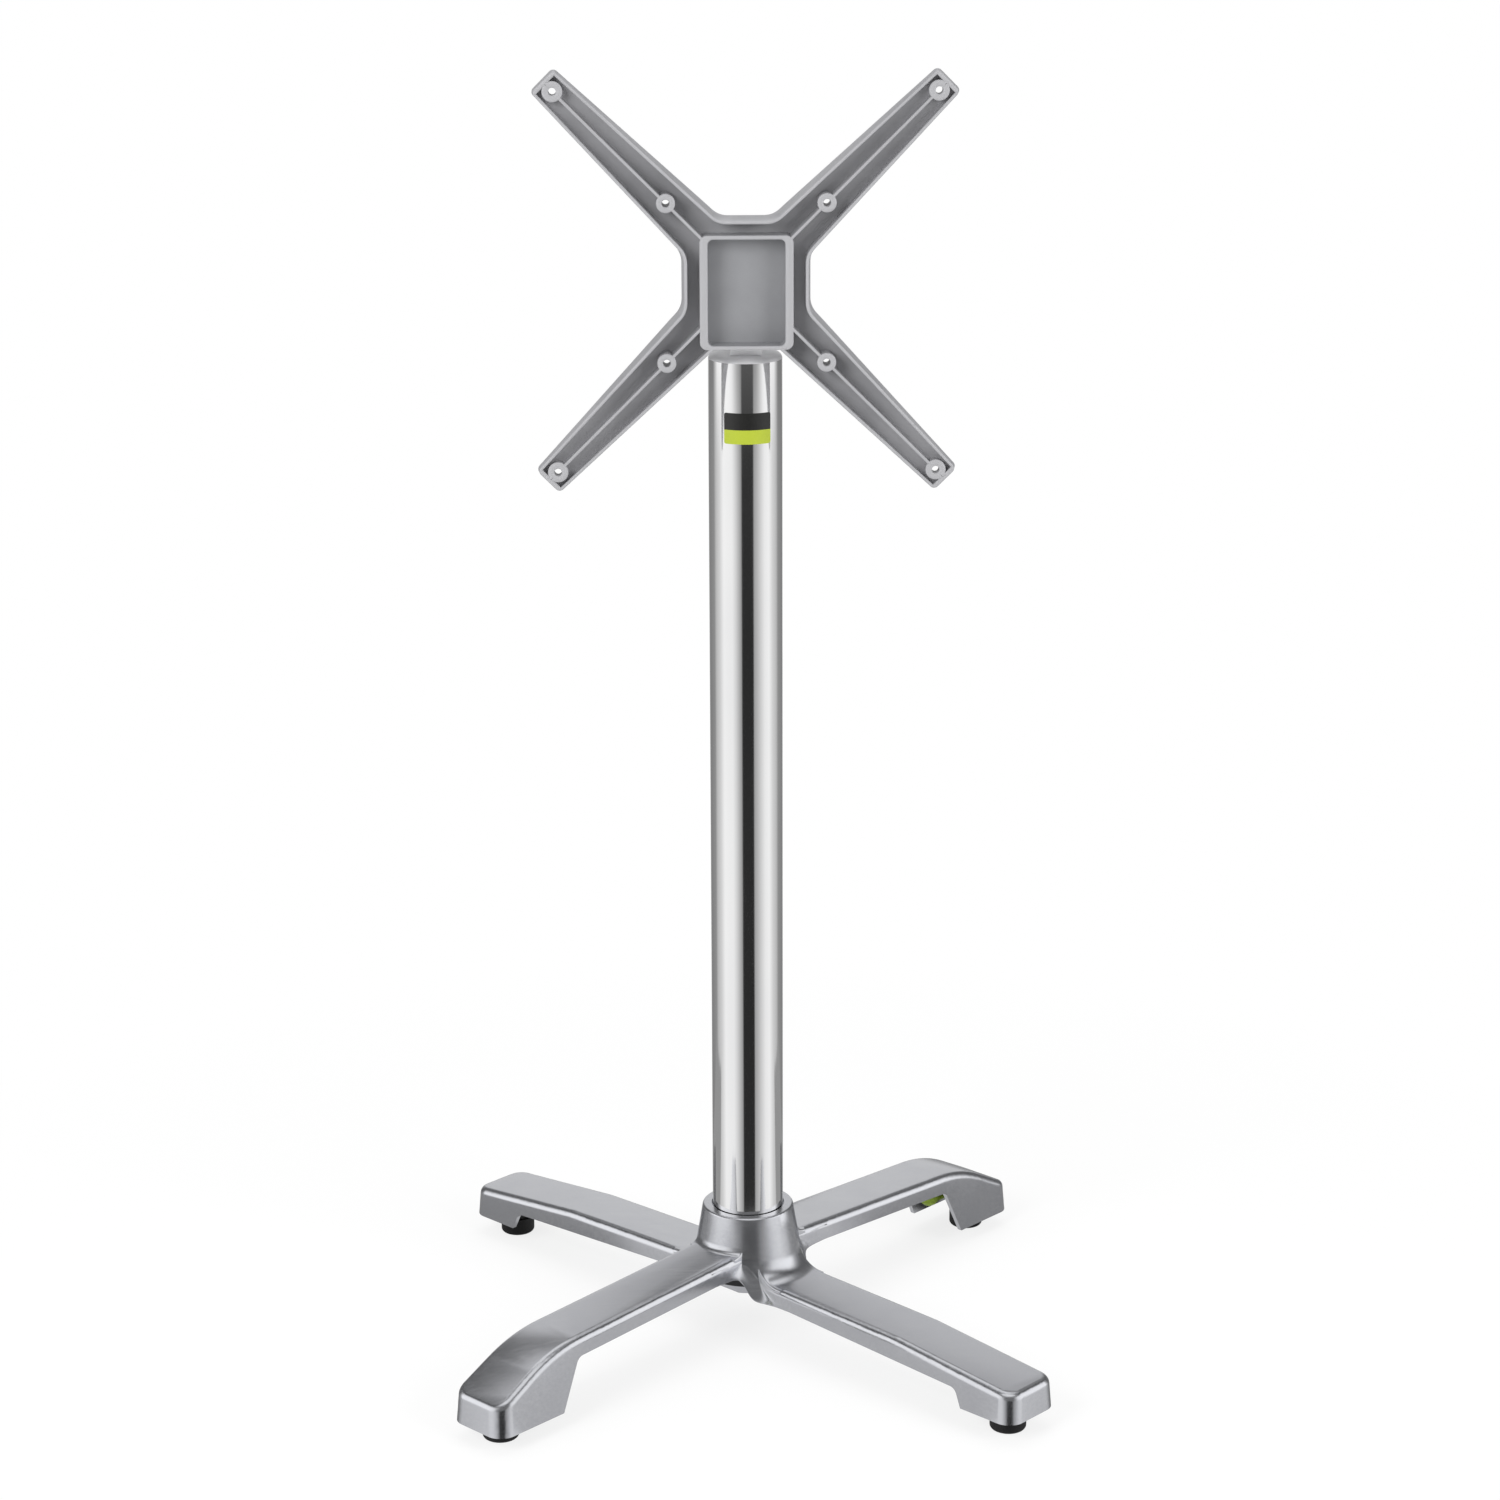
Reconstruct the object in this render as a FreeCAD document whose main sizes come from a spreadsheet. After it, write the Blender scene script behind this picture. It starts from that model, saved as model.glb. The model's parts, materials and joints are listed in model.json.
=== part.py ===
import FreeCAD, Part
import math
import os
import re
import Sketcher

# Tilting four star table base: a cast base on four levelling feet, a column, and a folding top spider.
# Lengths are in millimetres. X points right, Y points away from the front, Z points up.
# The origin lies on the floor, in the middle between the four feet.

doc = FreeCAD.newDocument("TableBase")
sheet = doc.addObject("Spreadsheet::Sheet", "Dims")

dimensions = [
    # Column tube
    ("column_radius", 35.0),
    ("column_wall", 2.5),
    ("column_top", 988.0),
    # Base casting, all four legs
    ("leg_end", 374.0),
    ("leg_half_width", 36.6),
    ("leg_draft", 3.5),
    ("leg_end_corner", 17.0),
    ("leg_edge_round", 8.0),
    ("casting_wall", 5.0),
    ("boot_round", 9.0),
    # Two raised legs
    ("high_peak", 98.0),
    ("high_slope", 0.047),
    ("high_root_depth", 19.3),
    ("high_shoulder_back", 75.0),
    ("high_shoulder_round", 150.0),
    ("high_toe_slope", 0.52),
    ("high_bottom", 17.5),
    ("high_boot_length", 83.0),
    ("high_boot_rake", 23.0),
    ("high_boot_depth", 49.0),
    ("high_barrel_drop", 48.4),
    ("high_bladder_drop", 22.0),
    ("high_bladder_length", 36.0),
    ("high_line_drop", 24.0),
    # Two low legs
    ("low_peak", 71.2),
    ("low_slope", 0.025),
    ("low_root_depth", 17.0),
    ("low_shoulder_back", 149.0),
    ("low_toe_slope", 0.096),
    ("low_bottom", 22.0),
    ("low_boot_length", 64.0),
    ("low_boot_rake", 8.0),
    ("low_boot_depth", 18.0),
    ("low_barrel_drop", 28.2),
    ("low_bladder_drop", 17.7),
    ("low_bladder_length", 22.0),
    ("low_line_drop", 20.2),
    # Base casting, hub and collar
    ("collar_top", 132.0),
    ("collar_radius", 45.0),
    ("collar_flare", 0.17),
    ("collar_lip", 2.6),
    ("mouth_clearance", 1.3),
    ("mouth_depth", 4.0),
    ("hub_bottom", 50.0),
    ("hub_cut_reach", 34.0),
    ("high_flare_round", 9.0),
    ("high_flare_edge", 2.0),
    ("low_flare_round", 25.0),
    ("low_flare_edge", 4.0),
    ("boss_wall", 4.0),
    ("seat_above_hub", 22.0),
    ("cavity_height", 20.0),
    ("rod_clearance", 1.0),
    ("rib_thickness", 4.0),
    # Feet
    ("foot_inset", 34.0),
    ("pad_radius", 17.5),
    ("pad_height", 18.0),
    ("pad_floor", 5.0),
    ("pad_round", 4.0),
    ("foot_travel", 4.0),
    ("travel_gap", 0.6),
    ("piston_radius", 7.0),
    ("piston_length", 30.2),
    ("bore_length", 31.0),
    ("barrel_radius", 13.8),
    ("barrel_clearance", 0.4),
    ("flange_radius", 16.0),
    ("flange_height", 3.0),
    ("fluid_port", 17.0),
    ("port_below_top", 5.2),
    ("running_fit", 0.05),
    # Levelling fluid parts
    ("bladder_inset", 95.0),
    ("bladder_radius", 11.0),
    ("neck_radius", 3.5),
    ("line_radius", 3.0),
    ("ring_wall", 8.0),
    ("ring_lift", 10.5),
    ("ring_height", 9.0),
    ("port_half", 4.0),
    ("port_face", 57.0),
    # Tie rod
    ("rod_radius", 6.0),
    ("rod_tail", 2.0),
    ("rod_top_gap", 12.0),
    ("washer_radius", 16.0),
    ("washer_thickness", 2.5),
    ("rod_nut_flats", 19.0),
    ("rod_nut_height", 10.0),
    # Column head
    ("spigot_length", 40.0),
    ("spigot_clearance", 0.1),
    ("dome_height", 12.0),
    ("tongue_half", 15.0),
    ("tongue_rear", 37.0),
    ("tongue_front_low", 26.0),
    ("stop_gap", 0.3),
    # Tilt hinge
    ("pivot_back", 26.0),
    ("pivot_above_column", 45.0),
    ("cheek_gap", 0.3),
    ("cheek_thickness", 8.0),
    ("cheek_round", 12.5),
    ("bolt_radius", 5.0),
    ("bush_radius", 7.0),
    ("bolt_flats", 16.0),
    ("bolt_head_height", 6.4),
    ("hinge_nut_height", 8.0),
    ("bolt_tail", 3.0),
    # Top spider
    ("spider_face", 36.0),
    ("spider_back", 11.0),
    ("pattern_centre", 35.0),
    ("arm_tip", 264.0),
    ("arm_tip_half", 16.5),
    ("arm_root_reach", 60.0),
    ("arm_root_half", 24.5),
    ("arm_draft", 5.0),
    ("arm_tip_corner", 5.0),
    ("arm_root_corner", 21.0),
    ("cone_start", 80.0),
    ("cone_end_depth", 11.5),
    ("arm_floor", 3.5),
    ("arm_wall_root", 5.0),
    ("arm_wall_tip", 4.7),
    ("arm_end_wall", 6.5),
    ("spider_rib", 2.6),
    ("outer_half_spacing", 176.0),
    ("inner_half_spacing", 74.0),
    ("outer_boss_radius", 9.5),
    ("inner_boss_radius", 8.8),
    ("bolt_hole_radius", 3.5),
    ("box_width", 86.5),
    ("box_length", 106.2),
    ("box_centre", 26.1),
    ("box_corner", 7.0),
    ("recess_width", 71.5),
    ("recess_length", 98.7),
    ("recess_corner", 5.0),
    ("recess_floor", 14.5),
    # Release lever
    ("lever_pin_reach", 47.0),
    ("lever_pin_height", 3.5),
    ("lever_pin_radius", 2.5),
    ("lever_barrel_radius", 5.0),
    ("lever_half", 14.0),
    ("nose_reach", 38.8),
    ("nose_low", 8.5),
    ("nose_thickness", 4.0),
    ("lever_end", 86.0),
    ("lever_plate", 3.0),
    ("lug_gap", 0.3),
    ("lug_thickness", 4.0),
    ("spring_wire", 0.5),
    ("spring_radius", 3.6),
    ("spring_turns", 3.5),
    ("spring_pitch", 1.3),
]
for row, (name, size) in enumerate(dimensions, start=1):
    sheet.set("A%d" % row, name)
    sheet.set("B%d" % row, str(size))
    sheet.setAlias("B%d" % row, name)
doc.recompute()

# Sizes that follow from the ones above.
derived = {
    "column_seat": "#hub_bottom + #seat_above_hub",
    "boss_radius": "#column_radius + #boss_wall",
    "ring_radius": "#boss_radius + #ring_wall",
    "ring_bottom": "#hub_bottom + #ring_lift",
    "foot_reach": "#leg_end - #foot_inset",
    "bladder_reach": "#leg_end - #bladder_inset",
    "barrel_bottom": "#pad_floor + #foot_travel + #travel_gap",
    "flange_bottom": "#pad_height + #foot_travel + #travel_gap",
    "port_side": "0.5 * #rib_thickness + 0.6",
    "rod_bottom": "#hub_bottom - #washer_thickness - #rod_nut_height - #rod_tail",
    "rod_top": "#column_top - #rod_top_gap",
    "pivot_z": "#column_top + #pivot_above_column",
    "tongue_round": "#spider_back - #stop_gap",
    "cheek_outer": "#tongue_half + #cheek_gap + #cheek_thickness",
    "lug_half_gap": "#lever_half + #lug_gap",
}
for kind in ("high", "low"):
    derived[kind + "_barrel_top"] = "#" + kind + "_peak - #" + kind + "_barrel_drop"
    derived[kind + "_bladder_top"] = "#" + kind + "_peak - #" + kind + "_bladder_drop"
    derived[kind + "_line"] = "#" + kind + "_peak - #" + kind + "_line_drop"
    derived[kind + "_neck"] = "#" + kind + "_barrel_top - #port_below_top"

X_AXIS = FreeCAD.Vector(1, 0, 0)
Y_AXIS = FreeCAD.Vector(0, 1, 0)
Z_AXIS = FreeCAD.Vector(0, 0, 1)


def bound(expression):
    """Expression text with each named size pointed at the sheet."""
    def swap(match):
        name = match.group(1)
        if name in derived:
            return "(" + bound(derived[name]) + ")"
        return "Dims." + name
    return re.sub(r"#(\w+)", swap, expression)


def dim(name):
    """Value of one named size."""
    return float(sheet.evalExpression(bound("#" + name)))


def millimetres(expression):
    """The same expression as a length."""
    return "(" + expression + ") * 1 mm"


def bind(item, **sizes):
    """Bind the properties of an object to expressions of the sheet."""
    for prop, expression in sizes.items():
        item.setExpression(prop.replace("_dot_", "."), bound(expression))


def at(item, x="0", y="0", z="0", axis=None, angle=0.0):
    """Place an object at a position given by expressions, turned about an axis by an angle."""
    turn = FreeCAD.Rotation(axis, angle) if axis is not None else FreeCAD.Rotation()
    item.Placement = FreeCAD.Placement(FreeCAD.Vector(0, 0, 0), turn)
    for letter, expression in (("x", x), ("y", y), ("z", z)):
        if expression != "0":
            item.setExpression("Placement.Base." + letter, bound(expression) + " + 0")


def cylinder(name, radius, height, x="0", y="0", z="0", axis=None, angle=0.0):
    """Cylinder with its foot at the given point, along Z unless turned."""
    item = doc.addObject("Part::Cylinder", name)
    bind(item, Radius=millimetres(radius), Height=millimetres(height))
    at(item, x, y, z, axis, angle)
    return item


def box(name, length, width, height, x="0", y="0", z="0"):
    """Box with its low corner at the given point."""
    item = doc.addObject("Part::Box", name)
    bind(item, Length=millimetres(length), Width=millimetres(width), Height=millimetres(height))
    at(item, x, y, z)
    return item


def fuse(name, items):
    item = doc.addObject("Part::MultiFuse", name)
    item.Shapes = items
    item.Refine = True
    return item


def cut(name, base, tool):
    item = doc.addObject("Part::Cut", name)
    item.Base = base
    item.Tool = tool
    item.Refine = True
    return item


def common(name, base, tool):
    item = doc.addObject("Part::MultiCommon", name)
    item.Shapes = [base, tool]
    item.Refine = True
    return item


def rounded(name, base, choose, radius):
    """Round the edges of base for which choose(edge) is true."""
    doc.recompute()
    item = doc.addObject("Part::Fillet", name)
    item.Base = base
    item.Edges = [(i, radius, radius) for i, edge in enumerate(base.Shape.Edges, start=1) if choose(edge)]
    doc.recompute()
    return item


def origin_plane(body, role):
    return [plane for plane in body.Origin.OriginFeatures if plane.Role == role][0]


def polygon_sketch(body, name, role, points, offset=None):
    """Closed outline whose corners are held by a pair of bound distances from the sketch origin."""
    sketch = body.newObject("Sketcher::SketchObject", name)
    sketch.AttachmentSupport = [(origin_plane(body, role), "")]
    sketch.MapMode = "FlatFace"
    if offset is not None:
        sketch.setExpression("AttachmentOffset.Base.z", bound(offset) + " + 0")
    doc.recompute()
    corners = []
    for px, py in points:
        u = sketch.evalExpression(bound(px))
        v = sketch.evalExpression(bound(py))
        corners.append(FreeCAD.Vector(float(u), float(v), 0))
    count = len(corners)
    for i in range(count):
        sketch.addGeometry(Part.LineSegment(corners[i], corners[(i + 1) % count]), False)
    for i in range(count):
        sketch.addConstraint(Sketcher.Constraint("Coincident", i, 2, (i + 1) % count, 1))
    for i, (px, py) in enumerate(points):
        across = sketch.addConstraint(Sketcher.Constraint("DistanceX", -1, 1, i, 1, corners[i].x))
        up = sketch.addConstraint(Sketcher.Constraint("DistanceY", -1, 1, i, 1, corners[i].y))
        sketch.setExpression("Constraints[%d]" % across, "(" + bound(px) + ") * 1 mm")
        sketch.setExpression("Constraints[%d]" % up, "(" + bound(py) + ") * 1 mm")
    return sketch


def pad_body(name, role, points, length, taper=None, midplane=False, offset=None):
    """Body with one pad of a closed outline."""
    body = doc.addObject("PartDesign::Body", name)
    sketch = polygon_sketch(body, name + "Outline", role, points, offset)
    pad = body.newObject("PartDesign::Pad", name + "Pad")
    pad.Profile = sketch
    sketch.Visibility = False
    bind(pad, Length=millimetres(length))
    if midplane:
        pad.Midplane = True
    if taper is not None:
        bind(pad, TaperAngle="(" + taper + ") * 1 deg")
    doc.recompute()
    return body


def revolved_body(name, points):
    """Body turned about Z from a closed outline in the XZ plane."""
    body = doc.addObject("PartDesign::Body", name)
    sketch = polygon_sketch(body, name + "Outline", "XZ_Plane", points)
    turned = body.newObject("PartDesign::Revolution", name + "Turned")
    turned.Profile = sketch
    turned.ReferenceAxis = (sketch, ["V_Axis"])
    turned.Angle = 360
    doc.recompute()
    return body


def upright(edge):
    """True for an edge that runs mostly along Z."""
    if len(edge.Vertexes) < 2:
        return False
    run = edge.Vertexes[-1].Point - edge.Vertexes[0].Point
    return abs(run.z) > 0.8 * run.Length


def leg_names():
    """Foot numbers with the turn of each leg from the first one, and the kind of leg."""
    return [(1, 45.0, "high"), (2, 135.0, "low"), (3, 225.0, "high"), (4, 315.0, "low")]


# Base casting, outside. The legs lie along X (raised) and Y (low) here, and the finished casting is
# turned by 45 degrees. Each leg is its side outline met by a drafted bar with rounded end corners.

def side_points(kind, drop, shrink):
    """Side outline of one leg from the middle outwards, lowered by drop and shortened by shrink."""
    shoulder = "#leg_end - #" + kind + "_shoulder_back"
    crest = "#" + kind + "_peak - #" + kind + "_slope * (" + shoulder + ")"
    start = "#leg_end - #" + kind + "_boot_length"
    low = "#" + kind + "_bottom - 1.5 * (" + drop + ")"
    return [
        ("0", "#" + kind + "_peak - " + drop),
        (shoulder, crest + " - " + drop),
        ("#leg_end + 20", crest + " - #" + kind + "_toe_slope * (#" + kind + "_shoulder_back + 20) - " + drop),
        ("#leg_end + 20", low),
        (start + " - " + shrink, low),
        (start + " - #" + kind + "_boot_rake - " + shrink, low + " + #" + kind + "_boot_depth"),
        ("0", "#" + kind + "_peak - #" + kind + "_root_depth - 1.5 * (" + drop + ")"),
    ]


def outward(face, point):
    """Outward normal of a face at the point of it nearest to the given one."""
    u, v = face.Surface.parameter(point)
    return face.normalAt(u, v)


def middle_of(edge):
    return edge.valueAt(0.5 * (edge.FirstParameter + edge.LastParameter))


def crown_edges(shape):
    """Numbers of the edges between the top of a leg and its side and end walls."""
    found = []
    for i, edge in enumerate(shape.Edges, start=1):
        middle = middle_of(edge)
        if middle.x < 5:
            continue
        rises = [outward(face, middle).z for face in shape.ancestorsOfType(edge, Part.Face)]
        if max(rises) > 0.6 and abs(min(rises)) < 0.3:
            found.append(i)
    return found


def leg_solid(name, kind, drop, shrink, half, end_round, edge_round):
    """One leg along X with its upper edges rounded."""
    side = pad_body(name + "Side", "XZ_Plane", side_points(kind, drop, shrink), "4 * #leg_half_width", midplane=True)
    reach = dim("leg_end") - dim(kind + "_shoulder_back")
    boot = dim("leg_end") - dim(kind + "_boot_length") - dim(kind + "_boot_rake")

    def across(place, upper):
        def choose(edge):
            faces = side.Shape.ancestorsOfType(edge, Part.Face)
            rise = max(outward(face, middle_of(edge)).z for face in faces)
            return abs(edge.CenterOfMass.x - place) < 7.0 and edge.BoundBox.YLength > 100 and (rise > 0.5) == upper
        return choose

    if kind == "high":
        side = rounded(name + "Shoulder", side, across(reach, True), dim("high_shoulder_round"))
    side = rounded(name + "Boot", side, across(boot, False), dim("boot_round"))
    bar = pad_body(name + "Bar", "XY_Plane", [
        ("-20", "-(" + half + ")"), ("#leg_end - " + shrink, "-(" + half + ")"),
        ("#leg_end - " + shrink, half), ("-20", half)], "#collar_top", "-#leg_draft")
    bar = rounded(
        name + "Corners", bar, lambda edge: upright(edge) and edge.CenterOfMass.x > 100, end_round)
    leg = common(name + "Block", side, bar)
    doc.recompute()
    item = doc.addObject("Part::Fillet", name)
    item.Base = leg
    item.Edges = [(i, edge_round, edge_round) for i in crown_edges(leg.Shape)]
    doc.recompute()
    return item


def turned_copy(name, source, angle):
    """Copy of a shape turned about Z."""
    item = doc.addObject("Part::Compound", name)
    item.Links = [source]
    at(item, axis=Z_AXIS, angle=angle)
    return item


def leg_pair(name, source, turn):
    """Two opposite copies of a leg piece made along X."""
    return [turned_copy(name + "A", source, turn), turned_copy(name + "B", source, turn + 180.0)]


leg_turns = {"high": 0.0, "low": 90.0}
outer_legs = []
inner_legs = []
for kind, turn in leg_turns.items():
    outer = leg_solid(
        kind.title() + "Leg", kind, "0", "0", "#leg_half_width", dim("leg_end_corner"), dim("leg_edge_round"))
    inner = leg_solid(
        kind.title() + "Inner", kind, "#casting_wall", "#casting_wall", "#leg_half_width - #casting_wall",
        dim("leg_end_corner") - dim("casting_wall"), dim("leg_edge_round") - dim("casting_wall"))
    outer_legs += leg_pair(kind.title() + "LegTurned", outer, turn)
    inner_legs += leg_pair(kind.title() + "InnerTurned", inner, turn)

# Hub: a cone down to below the low legs, and a flare where it meets the tops of each pair of legs.
def cone_radius(height):
    return "#collar_radius + #collar_flare * (#collar_top - (" + height + "))"


cone = revolved_body("HubCone", [
    ("0", "#hub_bottom"), (cone_radius("#hub_bottom"), "#hub_bottom"), ("#collar_radius", "#collar_top"),
    ("0", "#collar_top")])
cone = rounded(
    "CollarLip", cone,
    lambda edge: abs(edge.CenterOfMass.z - dim("collar_top")) < 0.01 and edge.BoundBox.XMax > 40,
    dim("collar_lip"))


def drafted_bar(name, reach, half):
    """Bar along X, centred on Z, that narrows towards the top by the draft."""
    item = doc.addObject("Part::Wedge", name)
    inset = "#collar_top * tan(#leg_draft * 1 deg)"
    bind(item, Xmin=millimetres("-" + reach), Xmax=millimetres(reach), X2min=millimetres("-" + reach),
         X2max=millimetres(reach), Ymin="0 mm", Ymax=millimetres("#collar_top"),
         Zmin=millimetres("-(" + half + ")"), Zmax=millimetres(half),
         Z2min=millimetres(inset + " - (" + half + ")"), Z2max=millimetres(half + " - " + inset))
    at(item, axis=X_AXIS, angle=90.0)
    return item


def leg_flare(kind):
    """Flare from the cone onto the tops of one pair of legs, as wide as the legs."""
    tag = kind.title()
    radius = "#" + kind + "_flare_round"
    reach = cone_radius("#" + kind + "_peak") + " + " + radius
    low = "#" + kind + "_peak - #" + kind + "_slope * (" + reach + ") - 0.2"
    high = low + " + 1.6 * " + radius
    body = revolved_body(tag + "Flare", [
        ("0", low + " - 4"), (reach, low + " - 4"), (reach, low), (cone_radius(low), low),
        (cone_radius(high) + " - 0.6", high), ("0", high)])
    foot = float(sheet.evalExpression(bound(cone_radius(low))))
    shelf = float(sheet.evalExpression(bound(low)))
    body = rounded(
        tag + "FlareRound", body,
        lambda edge: abs(edge.CenterOfMass.z - shelf) < 0.01 and abs(edge.BoundBox.XMax - foot) < 0.01,
        dim(kind + "_flare_round"))
    met = common(tag + "FlareMet", body, drafted_bar(tag + "FlareBar", "4 * #leg_half_width", "#leg_half_width"))
    doc.recompute()

    def rim(edge):
        """True where the flare's hollow curve meets a drafted wall."""
        faces = met.Shape.ancestorsOfType(edge, Part.Face)
        curved = [face for face in faces if face.Surface.TypeId == "Part::GeomToroid"]
        flat = [face for face in faces if face.Surface.TypeId == "Part::GeomPlane"]
        return bool(curved and flat) and abs(outward(flat[0], middle_of(edge)).z) < 0.3

    edged = rounded(tag + "FlareEdged", met, rim, dim(kind + "_flare_edge"))
    return turned_copy(tag + "FlareTurned", edged, leg_turns[kind])


# The cone is cut back under the raised legs, down to the height of the low ones.
under_high = pad_body("UnderHigh", "XZ_Plane", [
    ("#hub_cut_reach", "#hub_bottom - 10"), ("#hub_cut_reach", "#hub_bottom"),
    ("#hub_cut_reach + 14", "#high_peak - #high_root_depth + 2"),
    ("4 * #leg_half_width", "#high_peak - #high_root_depth + 2"),
    ("4 * #leg_half_width", "#hub_bottom - 10")], "8 * #leg_half_width", midplane=True)
under_both = fuse("UnderBoth", leg_pair("UnderHighTurned", under_high, 0.0))
casting_outer = fuse("CastingOuter", outer_legs + [cut("HubConeCut", cone, under_both)] + [
    leg_flare("high"), leg_flare("low")])

# Hollow underside: the leg shapes one wall thickness smaller, and a round cavity in the hub.
cavity = doc.addObject("Part::Cone", "HubCavity")
bind(cavity, Radius1=millimetres(cone_radius("#hub_bottom - 10") + " - #casting_wall"),
     Radius2=millimetres(cone_radius("#hub_bottom + #cavity_height") + " - #casting_wall"),
     Height=millimetres("#cavity_height + 10"))
at(cavity, z="#hub_bottom - 10")
casting_shell = cut("CastingShell", casting_outer, fuse("Hollow", inner_legs + [cavity]))

# Ribs and bosses inside each leg, which end within the thickness of its roof.
inside = []
for kind, turn in leg_turns.items():
    tag = kind.title()
    middle = leg_solid(
        tag + "Middle", kind, "0.5 * #casting_wall", "0.5 * #casting_wall", "#leg_half_width - 0.5 * #casting_wall",
        dim("leg_end_corner") - 0.5 * dim("casting_wall"), dim("leg_edge_round") - 0.5 * dim("casting_wall"))
    fittings = fuse(tag + "Fittings", [
        box(tag + "Rib", "#bladder_reach - #bladder_radius - #ring_radius - 3", "#rib_thickness", "30",
            "#ring_radius + 1", "-0.5 * #rib_thickness", "#" + kind + "_peak - #" + kind + "_root_depth"),
        cylinder(tag + "FootBoss", "#barrel_radius", "40", x="#foot_reach", z="#" + kind + "_barrel_top"),
        cylinder(tag + "BladderBoss", "#bladder_radius - 6", "40", x="#bladder_reach", z="#" + kind + "_bladder_top"),
    ])
    inside += leg_pair(tag + "Inside", common(tag + "FittingsIn", fittings, middle), turn)
hub = cut(
    "HubBossCut", cylinder("HubBoss", "#boss_radius", "#collar_top - #hub_bottom - 8", z="#hub_bottom"), under_both)
casting_solid = fuse("CastingSolid", [casting_shell, hub] + inside)
bores = fuse("HubBores", [
    cylinder("ColumnBore", "#column_radius + #running_fit", "#collar_top - #column_seat + 5", z="#column_seat"),
    cylinder(
        "MouthBore", "#column_radius + #mouth_clearance", "#mouth_depth + 5",
        z="#collar_top - #mouth_depth"),
    cylinder("RodBore", "#rod_radius + #rod_clearance", "#column_seat", z="20"),
])
base_casting = cut("BaseCasting", casting_solid, bores)
base_casting.Placement = FreeCAD.Placement(FreeCAD.Vector(0, 0, 0), FreeCAD.Rotation(Z_AXIS, 45))
doc.recompute()

parts = []


def keep(label, item):
    """Give a finished sub-part its label and list it for writing."""
    item.Label = label
    parts.append((label, item))
    return item


keep("base_casting", base_casting)

# Column tube, its head, and the tie rod that clamps both to the base.
keep("column_tube", cut(
    "ColumnTube",
    cylinder("ColumnOuter", "#column_radius", "#column_top - #column_seat", z="#column_seat"),
    cylinder("ColumnInner", "#column_radius - #column_wall", "#column_top", z="#column_seat - 5")))

keep("tie_rod", cylinder("TieRod", "#rod_radius", "#rod_top - #rod_bottom", z="#rod_bottom"))


def prism(name, flats, height, x="0", y="0", z="0", axis=None, angle=0.0):
    """Hexagonal prism with the given distance across flats."""
    item = doc.addObject("Part::Prism", name)
    item.Polygon = 6
    bind(item, Circumradius=millimetres(flats + ") / (1.7320508"), Height=millimetres(height))
    at(item, x, y, z, axis, angle)
    return item


keep("tie_rod_washer", cut(
    "TieRodWasher",
    cylinder("WasherDisc", "#washer_radius", "#washer_thickness", z="#hub_bottom - #washer_thickness"),
    cylinder("WasherHole", "#rod_radius + 0.4", "20", z="#hub_bottom - 10")))
keep("tie_rod_nut", cut(
    "TieRodNut",
    prism("RodNutHex", "#rod_nut_flats", "#rod_nut_height", z="#hub_bottom - #washer_thickness - #rod_nut_height"),
    cylinder("RodNutHole", "#rod_radius + #running_fit", "40", z="#hub_bottom - 30")))

# Column head: spigot, low dome and a tongue whose front and top flats stop the tilt.
spigot = cylinder(
    "HeadSpigot", "#column_radius - #column_wall - #spigot_clearance", "#spigot_length + 2",
    z="#column_top - #spigot_length")
dome = doc.addObject("Part::Ellipsoid", "HeadDome")
bind(dome, Radius1="#dome_height * 1 mm", Radius2="#column_radius * 1 mm", Radius3="#column_radius * 1 mm")
dome.Angle1 = 0
dome.Angle2 = 90
at(dome, z="#column_top")
tongue = pad_body("HeadTongue", "YZ_Plane", [
    ("-#pivot_back - #tongue_round", "#pivot_z"),
    ("-#pivot_back - #tongue_round", "#pivot_z - #tongue_front_low"),
    ("-#pivot_back + 2", "#column_top + 4"),
    ("-#pivot_back + 2", "#column_top"),
    ("-#pivot_back + #tongue_rear", "#column_top"),
    ("-#pivot_back + #tongue_rear", "#pivot_z - 8"),
    ("-#pivot_back + #tongue_rear - 3", "#pivot_z - 6.5"),
    ("-#pivot_back + #tongue_rear - 3", "#pivot_z - 2.5"),
    ("-#pivot_back + #tongue_rear", "#pivot_z - 1"),
    ("-#pivot_back + #tongue_rear", "#pivot_z + #tongue_round"),
    ("-#pivot_back", "#pivot_z + #tongue_round"),
], "2 * #tongue_half", midplane=True)
tongue_nose = cylinder(
    "TongueNose", "#tongue_round", "2 * #tongue_half",
    x="-#tongue_half", y="-#pivot_back", z="#pivot_z", axis=Y_AXIS, angle=90)
head_solid = fuse("HeadSolid", [spigot, dome, tongue, tongue_nose])
head_bores = fuse("HeadBores", [
    cylinder("HeadRodBore", "#rod_radius + #running_fit", "#spigot_length - 8", z="#column_top - #spigot_length - 2"),
    cylinder("HeadBushBore", "#bush_radius", "100", x="-50", y="-#pivot_back", z="#pivot_z", axis=Y_AXIS, angle=90),
])
keep("column_head", cut("ColumnHead", head_solid, head_bores))

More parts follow.
